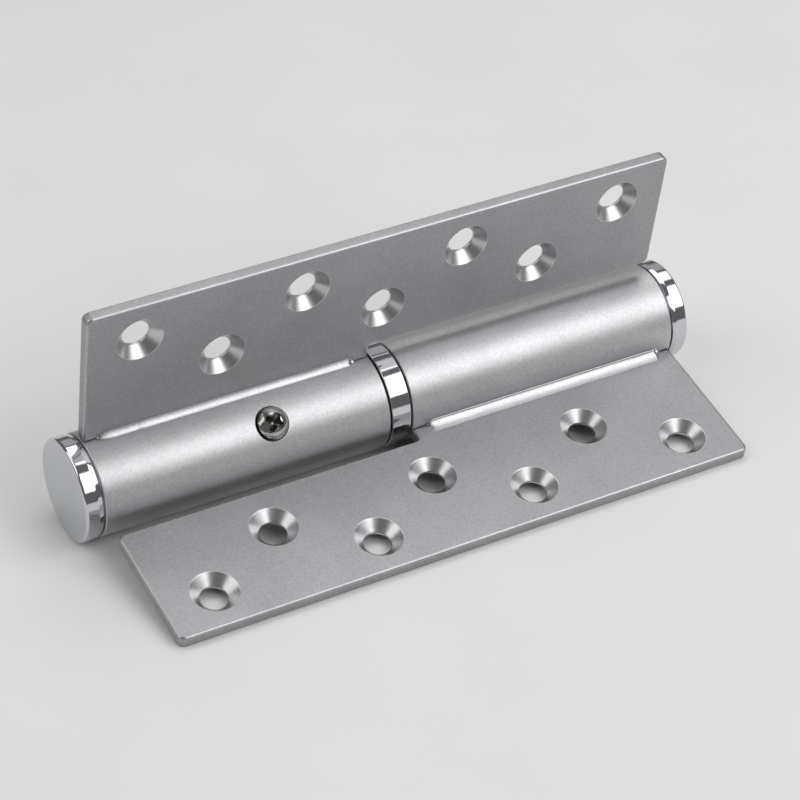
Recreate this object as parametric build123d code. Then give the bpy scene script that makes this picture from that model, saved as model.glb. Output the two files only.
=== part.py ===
from build123d import *
from math import asin, atan2, cos, degrees, hypot, pi, radians, sin, sqrt
import os

# Hydraulic door hinge in millimetres, lying open on a table.
# X runs along the pivot, +Z is up, and the origin is on the table under the middle of the hinge.
# Every piece is modelled with the pivot as the X axis, then lifted to its place over the table.
# The rear leaf stands up and carries the left tube, the front leaf lies down and carries the right.

# Leaves: two equal plates, one turned end for end
leaf_length = 127.0
leaf_thickness = 2.5
leaf_reach = 40.9             # pivot to the leaf's outer edge
closed_gap = 1.9              # between the two inner faces when the hinge is shut
leaf_corner_radius = 1.5
leaf_edge_radius = 0.35
face_edge_radius = 0.6        # die-rolled edge of the inner face
near_end_setback = 0.1        # leaf end inside the outer end of its own tube
far_end_setback = 0.9         # other leaf end inside the outer end of the other tube
pass_clearance = 2.9          # recessed edge of a leaf to the tube that it passes
step_radius = 0.6
tab_overlap = 0.6             # of the plate's blank with the tube, cut away where they meet
opening_angle = 93.1          # between the leaves as they lie
swing_range = 180.0           # from shut to fully open

# Screw holes in each leaf, in a zig-zag of two rows
hole_count = 7
hole_end_distance = 11.0
hole_edge_distance = 8.2
row_spacing = 10.0
screw_hole_diameter = 5.5
countersink_diameter = 9.5
countersink_angle = 90.0

# Barrel: two tubes, a bright ring between them and a bright cap at each end
tube_diameter = 20.8
tube_wall = 1.9
tube_chamfer = 0.25
bright_stand = 0.05           # how far the ring and caps stand out from the tubes
bright_chamfer = 0.35
ring_chamfer = 0.2
ring_length = 4.2
washer_thickness = 0.4
cap_head_length = 3.6
cap_face_chamfer = 0.6
cap_neck_length = 0.4
cap_spigot_depth = 2.0
cap_spigot_wall = 1.6
shadow_line_depth = 1.0       # how far washers and cap necks stand back from the tubes

# Weld runs along each leaf: one on its inner face, and one in a bevel that leaves its back flat
weld_end_distance = 2.9       # from each end of the tube
weld_tube_leg = 1.6
weld_leaf_leg = 2.1
back_bevel = 1.1              # of the leaf's root edge, filled by the back weld
weld_hollow = 0.25            # how far the weld's face is dished
weld_drop_share = 0.28        # of the weld's width: radius of the drop at each end
weld_drop_inset = 0.2

# Screw that locks the mechanism in the left tube
screw_diameter = 3.5
screw_length = 5.2
screw_head_diameter = 6.4
screw_head_height = 1.9
screw_head_rim = 0.6
screw_hole_clearance = 0.1
screw_seat_depth = 0.1        # flat milled on the tube under the head
screw_from_leaf = 38.5        # degrees from the rear leaf to the screw
screw_from_base_end = 4.4     # along the cam sleeve's base
cross_recess_width = 1.2
cross_recess_span = 4.2
cross_recess_turn = 50.0      # of its first arm from the pivot
cross_recess_depth = 1.3

# Cam, guide and follower, which turn the swing into a slide
cam_lead = 24.0               # follower's slide in one full turn
guide_wall = 2.1
cam_sleeve_wall = 2.0
cross_pin_diameter = 4.0
pin_slot_clearance = 0.3
pin_end_clearance = 0.3
guide_land = 4.0
cam_end_land = 1.0
clip_thickness = 1.0
clip_groove_depth = 0.5
clip_width = 1.5
clip_opening = 50.0
clip_lug_radius = 1.2
clip_hole_radius = 0.5
clip_side_clearance = 0.2
follower_nose = 8.0           # cross pin to the follower's rod end
seat_clearance = 0.5          # spring seat to the cam sleeve's end when shut
seat_thickness = 2.0
seat_spigot_diameter = 6.0
seat_spigot_length = 3.0
seat_side_clearance = 0.3

# Closing spring and its adjuster
wire_diameter = 2.0
spring_side_clearance = 1.0
active_coils = 3.5
closed_coil_pitch = 2.05
adjuster_thickness = 4.2
adjuster_end_clearance = 0.3
adjuster_boss_length = 3.0
adjuster_boss_clearance = 0.5
adjuster_socket = 6.0
adjuster_socket_depth = 3.0

# Oil cylinder and damper
cylinder_wall = 2.45
cylinder_end_wall = 1.75
plug_flange_length = 1.6
plug_body_length = 3.9
gland_length = 4.5
piston_length = 6.0
piston_end_clearance = 0.5
rod_diameter = 5.0
rod_in_piston = 3.5
rod_in_follower = 5.0
rod_bore = 3.0
rod_bore_depth = 12.0
rod_port_diameter = 1.6
rod_port_distance = 1.6
orifice_diameter = 2.4
needle_diameter = 1.8
needle_reach = 11.3
needle_taper = 3.0
needle_thread_diameter = 5.0
needle_head_setback = 0.5
needle_socket = 2.5
needle_socket_depth = 2.0
o_ring_groove_width = 1.8
o_ring_groove_depth = 1.3
seal_width = 2.2
piston_seal_depth = 1.4
rod_seal_depth = 1.6
seal_lip_gap = 0.5
seal_heel = 0.8

# Fits
slip_clearance = 0.05         # between pieces that are slid together and stay
running_clearance = 0.1       # between pieces that move on each other
edge_chamfer = 0.4

# Barrel stations, measured from the middle of the ring
tube_radius = tube_diameter / 2
tube_bore_radius = tube_radius - tube_wall
bright_radius = tube_radius + bright_stand
shadow_radius = tube_radius - shadow_line_depth
barrel_length = leaf_length + near_end_setback + far_end_setback
ring_end = ring_length / 2
tube_inner = ring_end + washer_thickness
tube_outer = barrel_length / 2
cap_outer = tube_outer + cap_neck_length + cap_head_length
spigot_end = tube_outer - cap_spigot_depth

# Swing and slide
travel = cam_lead * swing_range / 360
rest_slide = cam_lead * opening_angle / 360
slide_per_radian = cam_lead / (2 * pi)

# Right half, from the ring outwards
pin_radius = cross_pin_diameter / 2
pin_shut = tube_inner + guide_land + pin_slot_clearance + pin_radius
pin_rest = pin_shut + rest_slide
slot_reach = pin_radius + pin_slot_clearance
guide_end = pin_shut + travel + slot_reach + guide_land
clip_start = guide_end + clip_side_clearance
cam_end = clip_start + clip_thickness + cam_end_land
cam_radius = tube_bore_radius - guide_wall - running_clearance
cam_bore_radius = cam_radius - cam_sleeve_wall
follower_radius = cam_bore_radius - running_clearance
seat_start = cam_end + seat_clearance + rest_slide
seat_end = seat_start + seat_thickness
adjuster_outer = spigot_end - adjuster_end_clearance
adjuster_inner = adjuster_outer - adjuster_thickness
spring_radius = tube_bore_radius - spring_side_clearance

# Left half, from the cap inwards, as distances from the middle of the ring
clip_outer = spigot_end - clip_side_clearance
clip_inner = clip_outer - clip_thickness
plug_shoulder = clip_inner - plug_flange_length
plug_inner = plug_shoulder - plug_body_length
chamber_length = travel + piston_length + 2 * piston_end_clearance
gland_outer = plug_inner - chamber_length
base_end = gland_outer - gland_length
screw_station = base_end - screw_from_base_end
piston_left = -plug_inner + piston_end_clearance + rest_slide
piston_right = piston_left + piston_length
slip_radius = tube_bore_radius - slip_clearance
chamber_radius = slip_radius - cylinder_wall
end_bore_radius = slip_radius - cylinder_end_wall
end_plug_radius = end_bore_radius - slip_clearance
rod_radius = rod_diameter / 2

# The leaves' place: the front one's rounded outer edge rests on the table beside the barrel
face_offset = closed_gap / 2
back_offset = face_offset + leaf_thickness
edge_reach = leaf_reach - leaf_edge_radius
edge_drop = back_offset - leaf_edge_radius
edge_span = hypot(edge_reach, edge_drop)
front_tilt = degrees(asin((bright_radius - leaf_edge_radius) / edge_span) - atan2(edge_drop, edge_reach))
front_direction = 180 + front_tilt
rear_direction = front_direction - opening_angle
front_edge = ((leaf_reach - face_edge_radius) * cos(radians(front_tilt)) + face_edge_radius
              - (face_offset + face_edge_radius) * sin(radians(front_tilt)))
pivot_y = (front_edge - bright_radius) / 2
pivot_z = bright_radius


def turned(points, side=1):
    """Solid of revolution about the pivot, from (distance along it, radius) points."""
    outline = Polyline(*[(side * x, radius) for x, radius in points], close=True)
    return revolve(make_face(outline), Axis.X)


def band(start, end, outer, inner, side=1):
    """Turned tube with square edges."""
    return turned([(start, inner), (start, outer), (end, outer), (end, inner)], side)


def sleeve(start, end, outer, inner, chamfer, side=1):
    """Turned tube with its outer edges broken."""
    return turned([(start, inner), (start, outer - chamfer), (start + chamfer, outer),
                   (end - chamfer, outer), (end, outer - chamfer), (end, inner)], side)


def radial_plane(station, angle):
    """Plane across a radius of the barrel: its normal leaves the pivot at that angle from +Y."""
    direction = (0, cos(radians(angle)), sin(radians(angle)))
    return Plane(origin=(station, 0, 0), x_dir=(1, 0, 0), z_dir=direction)


def leaf_plane(direction, side):
    """Leaf's own plane: X along the pivot, Y out along the leaf, Z square to its inner face."""
    turn = radians(direction)
    normal = (0, -side * sin(turn), side * cos(turn))
    return Plane(origin=(0, 0, 0), x_dir=(side, 0, 0), z_dir=normal)


rear_plane = leaf_plane(rear_direction, 1)
front_plane = leaf_plane(front_direction, -1)


def hole_places():
    """Centres of the screw holes in a leaf's own plane, with every second one in the inner row."""
    pitch = (leaf_length - 2 * hole_end_distance) / (hole_count - 1)
    first = -tube_outer + near_end_setback + hole_end_distance
    outer_row = leaf_reach - hole_edge_distance
    return [(first + index * pitch, outer_row - (index % 2) * row_spacing) for index in range(hole_count)]


def countersunk_hole():
    """Cutter for one screw hole, with its mouth on the inner face at Z = 0."""
    mouth = countersink_diameter / 2
    shank = screw_hole_diameter / 2
    depth = (mouth - shank) / (sin(radians(countersink_angle / 2)) / cos(radians(countersink_angle / 2)))
    outline = Polyline((0, 1), (mouth, 1), (mouth, 0), (shank, -depth),
                       (shank, -leaf_thickness - 1), (0, -leaf_thickness - 1), close=True)
    return revolve(Plane.XZ * make_face(outline), Axis.Z)


def barrel_blank():
    """Solid cylinder of the tubes' outside, for fitting the leaves and welds to it."""
    return turned([(-tube_outer, 0), (-tube_outer, tube_radius), (tube_outer, tube_radius), (tube_outer, 0)])


def on_tube(height):
    """How far out from the pivot a leaf's own plane, at that height, meets the tube's surface."""
    return sqrt(tube_radius ** 2 - height ** 2)


def leaf():
    """Plate with a welded tab beside its own tube and a recessed edge beside the other tube."""
    near_end = -tube_outer + near_end_setback
    far_end = near_end + leaf_length
    tab_end = -tube_inner
    recess = tube_radius + pass_clearance
    tab_root = on_tube(back_offset) - tab_overlap
    outline = make_face(Polyline((near_end, tab_root), (tab_end, tab_root), (tab_end, recess),
                                 (far_end, recess), (far_end, leaf_reach), (near_end, leaf_reach),
                                 close=True))
    free_corners = outline.vertices().filter_by(lambda v: v.X > 0 or v.Y > recess + pass_clearance)
    outline = fillet(free_corners, leaf_corner_radius)
    step = outline.vertices().filter_by(lambda v: abs(v.X - tab_end) < step_radius and v.Y > tab_root + 1)
    outline = fillet(step, step_radius)
    plate = Pos(0, 0, -back_offset) * extrude(outline, leaf_thickness)
    for face, radius in ((plate.faces().sort_by(Axis.Z)[-1], face_edge_radius),
                         (plate.faces().sort_by(Axis.Z)[0], leaf_edge_radius)):
        free_edges = face.edges().filter_by(lambda e: e.center().Y > tab_root + face_edge_radius)
        plate = fillet(free_edges, radius)
    for x, y in hole_places():
        plate -= Pos(x, y, -face_offset) * countersunk_hole()
    bevel = make_face(Polyline((tab_root, -back_offset), (on_tube(-back_offset) + back_bevel, -back_offset),
                               (on_tube(back_bevel - back_offset), back_bevel - back_offset),
                               (tab_root, back_bevel - back_offset), close=True))
    root_cut = Pos(near_end - 1, 0, 0) * extrude(Plane.YZ * bevel, tab_end - near_end + 2)
    return plate - barrel_blank() - root_cut


def weld_run(root_height, leaf_toe, toe_angle):
    """One weld run: a filled corner between leaf and tube, with a rounded drop at both ends."""
    root_angle = asin(root_height / tube_radius)
    half_angle = (root_angle + toe_angle) / 2
    root, half_way, tube_toe = [Vector(cos(turn), sin(turn)) * tube_radius
                                for turn in (root_angle, half_angle, toe_angle)]
    middle = (leaf_toe + tube_toe) * 0.5
    dish = middle - (middle - root).normalized() * weld_hollow
    outline = [Line(root, leaf_toe), ThreePointArc(leaf_toe, dish, tube_toe),
               ThreePointArc(tube_toe, half_way, root)]
    section = Plane.YZ * make_face(outline)
    start = -tube_outer + weld_end_distance
    end = -tube_inner - weld_end_distance
    run = Pos(start, 0, 0) * extrude(section, end - start)
    leaf_middle = -(face_offset + back_offset) / 2
    leaf_block = Pos(0, 0, leaf_middle) * Box(barrel_length, 4 * tube_radius, leaf_thickness)
    drop = Rot(0, 90, 0) * Sphere(weld_drop_share * (leaf_toe - tube_toe).length)
    for x in (start + weld_drop_inset, end - weld_drop_inset):
        run += Pos(x, middle.X, middle.Y) * drop - barrel_blank() - leaf_block
    return run


def leaf_weld():
    """Both weld runs of one leaf."""
    inner_toe = Vector(on_tube(face_offset) + weld_leaf_leg, -face_offset)
    inner_run = weld_run(-face_offset, inner_toe, (weld_tube_leg - face_offset) / tube_radius)
    back_toe = Vector(on_tube(back_offset) + back_bevel, -back_offset)
    back_toe_angle = -asin(back_offset / tube_radius) - back_bevel / tube_radius
    back_run = weld_run(back_bevel - back_offset, back_toe, back_toe_angle)
    return Compound(children=[*inner_run.solids(), *back_run.solids()])


def tube(side):
    return sleeve(tube_inner, tube_outer, tube_radius, tube_bore_radius, tube_chamfer, side)


screw_plane = radial_plane(-screw_station, rear_direction + screw_from_leaf)
screw_seat_radius = tube_radius - screw_seat_depth


def left_tube():
    """Tube with the lock screw's hole and flat, and a groove for the cylinder's retaining ring."""
    body = tube(-1)
    groove = band(clip_inner, clip_outer, tube_bore_radius + clip_groove_depth,
                  tube_bore_radius - clip_groove_depth, -1)
    hole = Cylinder(screw_diameter / 2 + screw_hole_clearance, tube_radius,
                    align=(Align.CENTER, Align.CENTER, Align.MIN))
    flat = Pos(0, 0, screw_seat_radius) * Cylinder(screw_head_diameter / 2 + screw_hole_clearance, tube_wall,
                                                   align=(Align.CENTER, Align.CENTER, Align.MIN))
    return body - groove - screw_plane.location * (hole + flat)


def middle_ring():
    return sleeve(-ring_end, ring_end, bright_radius, cam_radius + slip_clearance, ring_chamfer)


def washer(side):
    """Thrust washer between the ring and a tube: the left one stays with the cam sleeve."""
    bore = cam_radius + (slip_clearance if side < 0 else running_clearance)
    return band(ring_end, tube_inner, shadow_radius, bore, side)


def cap(side):
    """Turned cap: bright head, a neck that leaves a dark line, and a hollow spigot in the tube."""
    head = tube_outer + cap_neck_length
    spigot_bore = tube_bore_radius - cap_spigot_wall
    return turned([(tube_outer, 0), (cap_outer, 0), (cap_outer, bright_radius - cap_face_chamfer),
                   (cap_outer - cap_face_chamfer, bright_radius), (head + bright_chamfer, bright_radius),
                   (head, bright_radius - bright_chamfer), (head, shadow_radius),
                   (tube_outer, shadow_radius), (tube_outer, tube_bore_radius),
                   (spigot_end + edge_chamfer, tube_bore_radius),
                   (spigot_end, tube_bore_radius - edge_chamfer), (spigot_end, spigot_bore),
                   (tube_outer, spigot_bore)], side)


def body_screw():
    """Pan-head screw with a cross recess."""
    head_radius = screw_head_diameter / 2
    shank = screw_diameter / 2
    top_radius = head_radius * 0.55
    side_top = (head_radius, screw_head_rim)
    dome = ThreePointArc(side_top, (head_radius * 0.86, screw_head_height * 0.76),
                         (top_radius, screw_head_height))
    rest = Polyline((top_radius, screw_head_height), (0, screw_head_height),
                    (0, -screw_length), (shank - edge_chamfer, -screw_length),
                    (shank, edge_chamfer - screw_length), (shank, 0), (head_radius, 0), side_top)
    body = revolve(Plane.XZ * make_face([*dome.edges(), *rest.edges()]), Axis.Z)
    floor = Pos(0, 0, screw_head_height - cross_recess_depth)
    for turn in (cross_recess_turn, cross_recess_turn + 90):
        arm = Rectangle(cross_recess_span, cross_recess_width)
        tip = Rectangle(cross_recess_span * 0.4, cross_recess_width * 0.7)
        arm_cut = loft([Pos(0, 0, cross_recess_depth) * arm, tip])
        body -= floor * Rot(0, 0, turn) * arm_cut
    return screw_plane.location * Pos(0, 0, screw_seat_radius) * body


def swept_slot():
    """Cutter for one helical slot: the path of the cross pin's end as the hinge goes from shut to open."""
    middle = (cam_radius + cam_bore_radius) / 2
    depth = 2 * cam_sleeve_wall
    path = Helix(pitch=cam_lead, height=travel, radius=middle)
    across = Plane(origin=path @ 0, x_dir=(1, 0, 0), z_dir=path % 0)
    cut = sweep(across * Rectangle(depth, 2 * slot_reach), path=path, is_frenet=True)
    tip = Pos(middle, 0, 0) * Rot(0, 90, 0) * Cylinder(slot_reach, depth)
    return cut + tip + Pos(0, 0, travel) * Rot(0, 0, swing_range) * tip


def cam_sleeve():
    """Sleeve locked in the left tube, with two helical slots in the part that reaches into the right."""
    body = turned([(-base_end, cam_bore_radius), (-base_end, slip_radius - edge_chamfer),
                   (-base_end + edge_chamfer, slip_radius), (-tube_inner, slip_radius),
                   (-tube_inner, cam_radius), (clip_start, cam_radius),
                   (clip_start, cam_radius - clip_groove_depth),
                   (clip_start + clip_thickness, cam_radius - clip_groove_depth),
                   (clip_start + clip_thickness, cam_radius), (cam_end - edge_chamfer, cam_radius),
                   (cam_end, cam_radius - edge_chamfer), (cam_end, cam_bore_radius)])
    slot = swept_slot()
    for turn in (0, 180):
        start_angle = pin_angle - opening_angle + turn
        body -= Plane.YZ.location * Pos(0, 0, pin_shut) * Rot(0, 0, start_angle) * slot
    tapped = Cylinder(screw_diameter / 2, tube_radius, align=(Align.CENTER, Align.CENTER, Align.MIN))
    return body - screw_plane.location * tapped


pin_angle = 90.0              # of the cross pin as the hinge lies, from +Y


def guide_sleeve():
    """Sleeve pressed in the right tube, with two straight slots that keep the cross pin from turning."""
    body = sleeve(tube_inner, guide_end, tube_bore_radius, cam_radius + running_clearance, edge_chamfer)
    slot = Pos(pin_shut + travel / 2, 0, 0) * SlotCenterToCenter(travel, 2 * slot_reach)
    through = extrude(slot, tube_diameter, both=True)
    return body - Rot(pin_angle - 90, 0, 0) * through


def cross_pin():
    length = 2 * (tube_bore_radius - pin_end_clearance)
    pin = Cylinder(pin_radius, length)
    pin = chamfer(pin.edges().filter_by(GeomType.CIRCLE), edge_chamfer)
    return radial_plane(pin_rest, pin_angle).location * pin


def follower():
    """Plunger in the cam sleeve: rod at its left end, cross pin through it, spring seat on its right."""
    start = pin_rest - follower_nose
    spigot = seat_spigot_diameter / 2
    end = seat_end + seat_spigot_length
    body = turned([(start, 0), (start, follower_radius - edge_chamfer),
                   (start + edge_chamfer, follower_radius), (seat_start, follower_radius),
                   (seat_start, spigot), (end, spigot), (end, 0)])
    rod_hole = turned([(start, 0), (start, rod_radius), (start + rod_in_follower, rod_radius),
                       (start + rod_in_follower, 0)])
    pin_hole = radial_plane(pin_rest, pin_angle).location * Cylinder(pin_radius, tube_diameter)
    return body - rod_hole - pin_hole


def spring_seat():
    return sleeve(seat_start, seat_end, tube_bore_radius - seat_side_clearance,
                  seat_spigot_diameter / 2, edge_chamfer)


def retaining_ring(inner, outer, lugs_inside):
    """Flat retaining ring with an opening and a drilled lug on each side of it."""
    ring = Circle(outer) - Circle(inner)
    half = radians(clip_opening / 2)
    reach = 2 * outer
    wedge = make_face(Polyline((0, 0), (reach * cos(half), -reach * sin(half)),
                               (reach * cos(half), reach * sin(half)), close=True))
    ring -= wedge
    lug_centre = outer - clip_lug_radius if lugs_inside else inner + clip_lug_radius
    for sign in (-1, 1):
        turn = degrees(half) + degrees(clip_lug_radius / lug_centre)
        place = Rot(0, 0, sign * turn) * Pos(lug_centre, 0)
        ring = ring + place * Circle(clip_lug_radius) - place * Circle(clip_hole_radius)
    return extrude(ring, clip_thickness)


def cam_circlip():
    """Ring in the cam sleeve's groove, which keeps the two halves of the hinge together."""
    ring = retaining_ring(cam_radius - clip_groove_depth, cam_radius + clip_width - clip_groove_depth, False)
    return Plane.YZ.location * Pos(0, 0, clip_start) * Rot(0, 0, -90) * ring


def cylinder_circlip():
    """Ring in the left tube's groove, which holds the end plug and the cylinder in."""
    groove = tube_bore_radius + clip_groove_depth
    ring = retaining_ring(groove - clip_width, groove, True)
    return Plane.YZ.location * Pos(0, 0, -clip_outer) * Rot(0, 0, -90) * ring


def spring_stretch(pitch, turns, start, turn):
    """Stretch of spring wire of constant pitch; its section lies in a plane through the axis."""
    coil_radius = spring_radius - wire_diameter / 2
    section = Plane.XZ * Pos(coil_radius, 0, 0) * Circle(wire_diameter / 2)
    path = Helix(pitch=pitch, height=pitch * turns, radius=coil_radius)
    return Pos(0, 0, start) * Rot(0, 0, turn) * sweep(section, path=path, is_frenet=True)


def closing_spring():
    """Compression spring with one closed coil at each end, ground flat."""
    length = adjuster_inner - seat_end
    tip = wire_diameter / 4
    active_pitch = (length - 2 * tip - 2 * closed_coil_pitch) / active_coils
    active_start = tip + closed_coil_pitch
    last_start = length - tip - closed_coil_pitch
    wire = spring_stretch(closed_coil_pitch, 1, tip, 0)
    wire += spring_stretch(active_pitch, active_coils, active_start, 0)
    wire += spring_stretch(closed_coil_pitch, 1, last_start, 360 * active_coils)
    ground = Cylinder(2 * spring_radius, length, align=(Align.CENTER, Align.CENTER, Align.MIN))
    return Plane.YZ.location * Pos(0, 0, seat_end) * (wire & ground)


def tension_adjuster():
    """Threaded plug behind the spring, with a boss that centres it and a hexagon socket."""
    boss = spring_radius - wire_diameter - adjuster_boss_clearance
    boss_end = adjuster_inner - adjuster_boss_length
    body = turned([(boss_end, 0), (boss_end, boss - edge_chamfer), (boss_end + edge_chamfer, boss),
                   (adjuster_inner, boss), (adjuster_inner, tube_bore_radius),
                   (adjuster_outer - edge_chamfer, tube_bore_radius),
                   (adjuster_outer, tube_bore_radius - edge_chamfer), (adjuster_outer, 0)])
    socket = extrude(RegularPolygon(adjuster_socket / 2, 6, major_radius=False), adjuster_socket_depth)
    return body - Plane.YZ.location * Pos(0, 0, adjuster_outer - adjuster_socket_depth) * socket


def piston_rod():
    """Rod with a metering bore from its piston end and a port beside the piston."""
    start = piston_right - rod_in_piston
    end = pin_rest - follower_nose + rod_in_follower
    body = turned([(start, rod_bore / 2), (start, rod_radius), (end, rod_radius), (end, 0),
                   (start + rod_bore_depth, 0), (start + rod_bore_depth, rod_bore / 2)])
    port = Cylinder(rod_port_diameter / 2, rod_diameter + 1)
    return body - radial_plane(piston_right + rod_port_distance, pin_angle).location * port


def piston():
    """Piston with a metering orifice, a socket for the rod and a groove for its seal."""
    outer = chamber_radius - running_clearance
    groove = outer - piston_seal_depth
    groove_start = piston_left + (piston_length - seal_width) / 2
    groove_end = groove_start + seal_width
    socket = piston_right - rod_in_piston
    return turned([(piston_left, orifice_diameter / 2), (piston_left, outer - edge_chamfer),
                   (piston_left + edge_chamfer, outer), (groove_start, outer), (groove_start, groove),
                   (groove_end, groove), (groove_end, outer), (piston_right - edge_chamfer, outer),
                   (piston_right, outer - edge_chamfer), (piston_right, rod_radius),
                   (socket, rod_radius), (socket, orifice_diameter / 2)])


def lip_seal(start, inner, outer):
    """U-section seal with its open side towards the oil on its left."""
    middle = (inner + outer) / 2
    slit = seal_lip_gap / 2
    end = start + seal_width
    return turned([(start, inner), (end, inner), (end, outer), (start, outer), (start, middle + slit),
                   (end - seal_heel, middle + slit / 2), (end - seal_heel, middle - slit / 2),
                   (start, middle - slit)])


def piston_seal():
    outer = chamber_radius - running_clearance
    return lip_seal(piston_left + (piston_length - seal_width) / 2, outer - piston_seal_depth, outer)


def rod_seal():
    inner = rod_radius + running_clearance
    return lip_seal(-gland_outer, inner, inner + rod_seal_depth)


def oil_cylinder():
    """Cylinder with a counterbore for the end plug on its left and for the gland on its right."""
    return turned([(-plug_shoulder, end_bore_radius), (-plug_shoulder, slip_radius), (-base_end, slip_radius),
                   (-base_end, end_bore_radius), (-gland_outer, end_bore_radius),
                   (-gland_outer, chamber_radius), (-plug_inner, chamber_radius),
                   (-plug_inner, end_bore_radius)])


def o_ring(middle):
    """Ring of round section that fills the space between its groove and the cylinder."""
    section = o_ring_groove_depth + slip_clearance
    centre = end_bore_radius - section / 2
    return revolve(Pos(middle, centre) * Circle(section / 2), Axis.X)


def grooved(middle, radius):
    """Outline points of an O-ring groove, from left to right."""
    half = o_ring_groove_width / 2
    floor = radius - o_ring_groove_depth
    return [(middle - half, radius), (middle - half, floor), (middle + half, floor), (middle + half, radius)]


gland_ring_middle = -(gland_outer + base_end) / 2
plug_ring_middle = -(plug_shoulder + plug_inner) / 2


def gland():
    """Rod guide: seal pocket on the oil side, groove for its O-ring around it."""
    bore = rod_radius + running_clearance
    pocket = bore + rod_seal_depth
    return turned([(-gland_outer, pocket), (-gland_outer, end_plug_radius),
                   *grooved(gland_ring_middle, end_plug_radius), (-base_end, end_plug_radius),
                   (-base_end, bore), (-gland_outer + seal_width, bore), (-gland_outer + seal_width, pocket)])


def end_plug():
    """Flanged plug with a tapped hole for the speed adjuster."""
    thread = needle_thread_diameter / 2
    return turned([(-clip_inner, thread), (-clip_inner, slip_radius), (-plug_shoulder, slip_radius),
                   (-plug_shoulder, end_plug_radius), *grooved(plug_ring_middle, end_plug_radius),
                   (-plug_inner, end_plug_radius), (-plug_inner, thread)])


def speed_adjuster():
    """Screw with a hexagon socket and a long tapered needle that reaches into the piston."""
    head = -clip_inner + needle_head_setback
    thread = needle_thread_diameter / 2
    needle = needle_diameter / 2
    tip = -plug_inner + needle_reach
    body = turned([(head, 0), (head, thread - edge_chamfer), (head + edge_chamfer, thread),
                   (-plug_inner, thread), (-plug_inner, needle), (tip - needle_taper, needle),
                   (tip, needle / 2), (tip, 0)])
    socket = extrude(RegularPolygon(needle_socket / 2, 6, major_radius=False), needle_socket_depth)
    return body - Plane.YZ.location * Pos(0, 0, head) * socket


plate = leaf()
welds = leaf_weld()
nodes = {
    "rear_leaf": rear_plane.location * plate,
    "rear_leaf_weld": rear_plane.location * welds,
    "left_tube": left_tube(),
    "left_cap": cap(-1),
    "body_screw": body_screw(),
    "middle_ring": middle_ring(),
    "left_washer": washer(-1),
    "cam_sleeve": cam_sleeve(),
    "cam_circlip": cam_circlip(),
    "oil_cylinder": oil_cylinder(),
    "gland": gland(),
    "gland_o_ring": o_ring(gland_ring_middle),
    "rod_seal": rod_seal(),
    "end_plug": end_plug(),
    "end_plug_o_ring": o_ring(plug_ring_middle),
    "speed_adjuster": speed_adjuster(),
    "cylinder_circlip": cylinder_circlip(),
    "front_leaf": front_plane.location * plate,
    "front_leaf_weld": front_plane.location * welds,
    "right_tube": tube(1),
    "right_cap": cap(1),
    "right_washer": washer(1),
    "guide_sleeve": guide_sleeve(),
    "closing_spring": closing_spring(),
    "tension_adjuster": tension_adjuster(),
    "cross_pin": cross_pin(),
    "follower": follower(),
    "spring_seat": spring_seat(),
    "piston_rod": piston_rod(),
    "piston": piston(),
    "piston_seal": piston_seal(),
}

os.makedirs("parts", exist_ok=True)
for name, piece in nodes.items():
    export_step(Pos(0, pivot_y, pivot_z) * piece, f"parts/{name}.step")

print("pivot", pivot_y, pivot_z)
print("leaf directions, degrees from +Y", rear_direction, front_direction)
print("slide per radian, rest slide and travel", slide_per_radian, rest_slide, travel)
print("hole places", hole_places())
print("spring length shut, at rest, open", adjuster_inner - seat_end + rest_slide,
      adjuster_inner - seat_end, adjuster_inner - seat_end + rest_slide - travel)
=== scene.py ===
import math

import bmesh
import bpy
from mathutils import Matrix, Vector, noise


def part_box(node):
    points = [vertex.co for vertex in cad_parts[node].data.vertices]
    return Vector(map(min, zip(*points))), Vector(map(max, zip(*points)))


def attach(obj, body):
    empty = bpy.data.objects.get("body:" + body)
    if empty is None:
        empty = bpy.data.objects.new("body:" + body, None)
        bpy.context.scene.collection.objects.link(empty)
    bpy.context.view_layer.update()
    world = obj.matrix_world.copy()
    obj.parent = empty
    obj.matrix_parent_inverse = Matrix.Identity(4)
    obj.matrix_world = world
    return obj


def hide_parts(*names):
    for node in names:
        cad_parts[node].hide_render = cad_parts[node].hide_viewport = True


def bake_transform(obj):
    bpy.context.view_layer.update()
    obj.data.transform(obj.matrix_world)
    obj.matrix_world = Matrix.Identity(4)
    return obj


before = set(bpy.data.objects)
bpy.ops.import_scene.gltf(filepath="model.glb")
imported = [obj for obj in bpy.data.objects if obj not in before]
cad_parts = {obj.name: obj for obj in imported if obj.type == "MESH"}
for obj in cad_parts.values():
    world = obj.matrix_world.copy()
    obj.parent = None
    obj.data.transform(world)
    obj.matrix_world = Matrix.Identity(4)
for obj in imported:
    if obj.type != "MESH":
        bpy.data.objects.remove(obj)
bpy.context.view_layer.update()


# Barrel tubes: two lengths of steel tube, turned to size and faced, their edges broken, then plated satin
# silver. The left one is welded to the rear leaf and the right one to the front leaf.
# A shallow round pocket is milled in the left one for the head of the lock screw, its cut faces coloured
# dark as painted shade.
MM = 0.001                    # sizes are in millimetres until a piece is made
MERGE_DISTANCE = 0.0001
TUBE_RADIUS = 10.4
TUBE_BORE = 8.5               # radius
TUBE_EDGE = 0.25              # radius of the outer edge at each end
TUBE_INNER = 2.5              # from the middle of the hinge to the tubes' inner ends
TUBE_OUTER = 64.0
TURNED_STEPS = 192            # facets round everything that is turned
GRAIN_SIZE = 0.22
FLECK_SIZE = 0.55
PATCH_SIZE = 14.0
RUB_SIZE = 11.0
RUB_SPREAD = 0.015            # how much rougher or smoother the plating is in places
EDGE_PAINTED_HIGHLIGHT = 1.2               # brightness of the painted highlight on a rubbed edge, beside the plating round it
ROOT_PAINTED_SHADE_FROM = 11.4          # from the pivot: where the painted shade beside a weld is darkest
ROOT_PAINTED_SHADE_TO = 13.6
SCREW_STATION = -27.4
SCREW_DIRECTION = math.radians(135.4)  # round the pivot, from +Y towards +Z
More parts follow.
